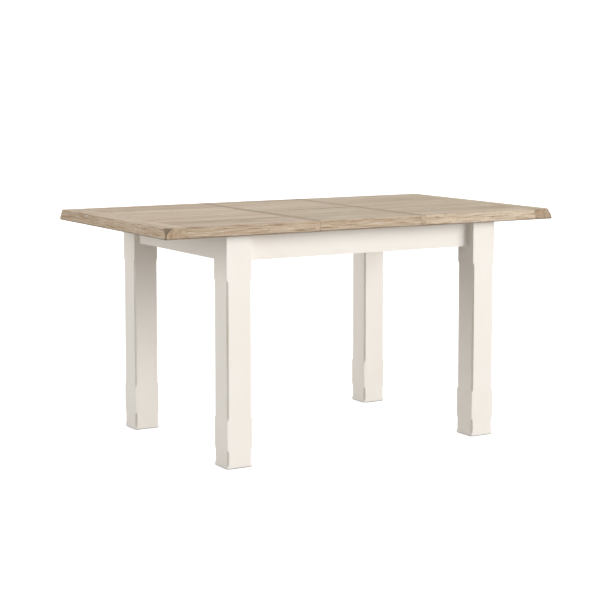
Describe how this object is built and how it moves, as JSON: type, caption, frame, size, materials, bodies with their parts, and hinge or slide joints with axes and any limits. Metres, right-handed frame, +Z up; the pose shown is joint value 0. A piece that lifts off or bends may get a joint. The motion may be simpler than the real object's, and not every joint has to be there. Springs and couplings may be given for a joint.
{
  "type": "extending dining table",
  "caption": "Rectangular dining table with an oak top on sliding halves, a folding centre leaf and four square painted legs on a fixed apron frame.",
  "frame": {"origin": "on the floor under the middle of the table, with the leaf in place", "axes": "+X along the table's length to the right, -Y towards the front, +Z up"},
  "size_m": [1.495, 0.842, 0.78],
  "materials": {
    "washed_oak": "matt oiled, pale limed oak with bevelled edges",
    "painted_wood": "ivory satin paint over wood",
    "pine": "planed, unfinished",
    "beech": "planed and waxed",
    "zinc_steel": "zinc plated",
    "brass": "satin",
    "nylon": "moulded, dark brown"
  },
  "bodies": {
    "frame": {"leg_front_left": "painted_wood", "leg_front_right": "painted_wood", "leg_rear_left": "painted_wood", "leg_rear_right": "painted_wood", "apron_front": "painted_wood", "apron_rear": "painted_wood", "apron_left": "painted_wood", "apron_right": "painted_wood", "corner_block_front_left": "pine", "corner_block_front_right": "pine", "corner_block_rear_left": "pine", "corner_block_rear_right": "pine", "cross_rail_left": "pine", "cross_rail_right": "pine", "pivot_block_left": "pine", "pivot_block_right": "pine", "guide_rail_front": "beech", "guide_rail_rear": "beech", "guide_rail_screws": "zinc_steel", "pivot_block_screws": "zinc_steel", "hanger_bolts": "zinc_steel", "hanger_washers": "zinc_steel", "hanger_nuts": "zinc_steel", "pivot_bush_left": "brass", "pivot_bush_right": "brass", "foot_glides": "nylon"},
    "top_left": {"top_left_field": "washed_oak", "top_left_end_cleat": "washed_oak", "top_left_inner_cleat": "washed_oak", "runner_left_front": "beech", "runner_left_rear": "beech", "runner_screws_left": "zinc_steel"},
    "top_right": {"top_right_field": "washed_oak", "top_right_end_cleat": "washed_oak", "top_right_inner_cleat": "washed_oak", "runner_right_front": "beech", "runner_right_rear": "beech", "runner_screws_right": "zinc_steel"},
    "leaf_rear": {"leaf_rear_panel": "washed_oak", "pivot_bracket_left": "zinc_steel", "pivot_bracket_right": "zinc_steel", "pivot_pin_left": "zinc_steel", "pivot_pin_right": "zinc_steel", "pivot_bracket_screws": "zinc_steel", "fold_hinge_barrels_rear": "brass", "fold_hinge_links": "zinc_steel"},
    "leaf_front": {"leaf_front_panel": "washed_oak", "fold_hinge_barrels_front": "brass"}
  },
  "joints": [
    {"name": "left_half_slide", "type": "slide", "parent": "frame", "child": "top_left", "axis": [-1, 0, 0], "range_m": [0, 0.06]},
    {"name": "right_half_slide", "type": "slide", "parent": "frame", "child": "top_right", "axis": [1, 0, 0], "range_m": [0, 0.06]},
    {"name": "leaf_pivot", "type": "hinge", "parent": "frame", "child": "leaf_rear", "pos_m": [0, 0.10525, 0.735], "axis": [1, 0, 0], "range_deg": [0, 90]},
    {"name": "leaf_fold", "type": "hinge", "parent": "leaf_rear", "child": "leaf_front", "pos_m": [0, 0, 0.78], "axis": [-1, 0, 0], "range_deg": [0, 180]}
  ],
  "couplings": [
    {"joint": "leaf_fold", "follows": "leaf_pivot", "ratio": 2}
  ]
}
